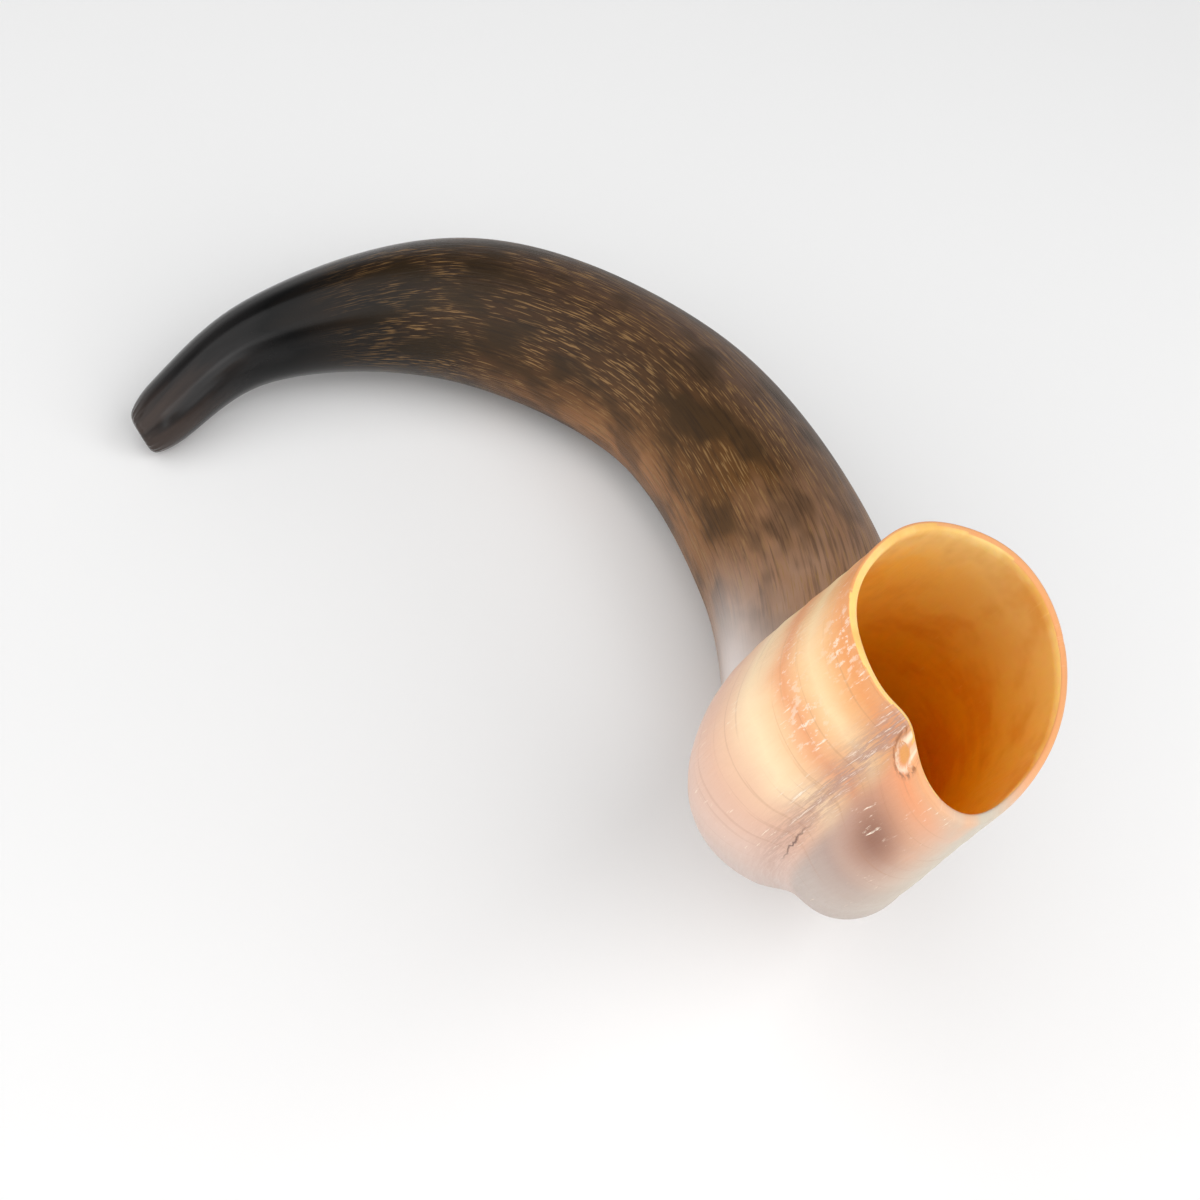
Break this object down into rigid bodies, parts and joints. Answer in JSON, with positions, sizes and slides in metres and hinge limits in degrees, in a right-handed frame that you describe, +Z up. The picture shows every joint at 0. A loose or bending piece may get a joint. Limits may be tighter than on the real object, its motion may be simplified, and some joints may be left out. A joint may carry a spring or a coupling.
{
  "type": "buffalo horn",
  "caption": "Curved hollow buffalo horn, sawn open at its pale creased base and tapering through a brown streaked shaft to a blunt dark polished tip.",
  "frame": {"origin": "middle of the horn's box, on the plane it lies on", "axes": "+Z up, +Y from the raised mouth towards the back of the curve, +X from the tip's side to the mouth's side"},
  "size_m": [0.2928, 0.3512, 0.2516],
  "materials": {
    "horn": "polished natural horn, cream and peach at the base, amber inside, brown on the shaft and near black at the tip"
  },
  "bodies": {
    "root": {"horn": "horn"}
  },
  "joints": []
}
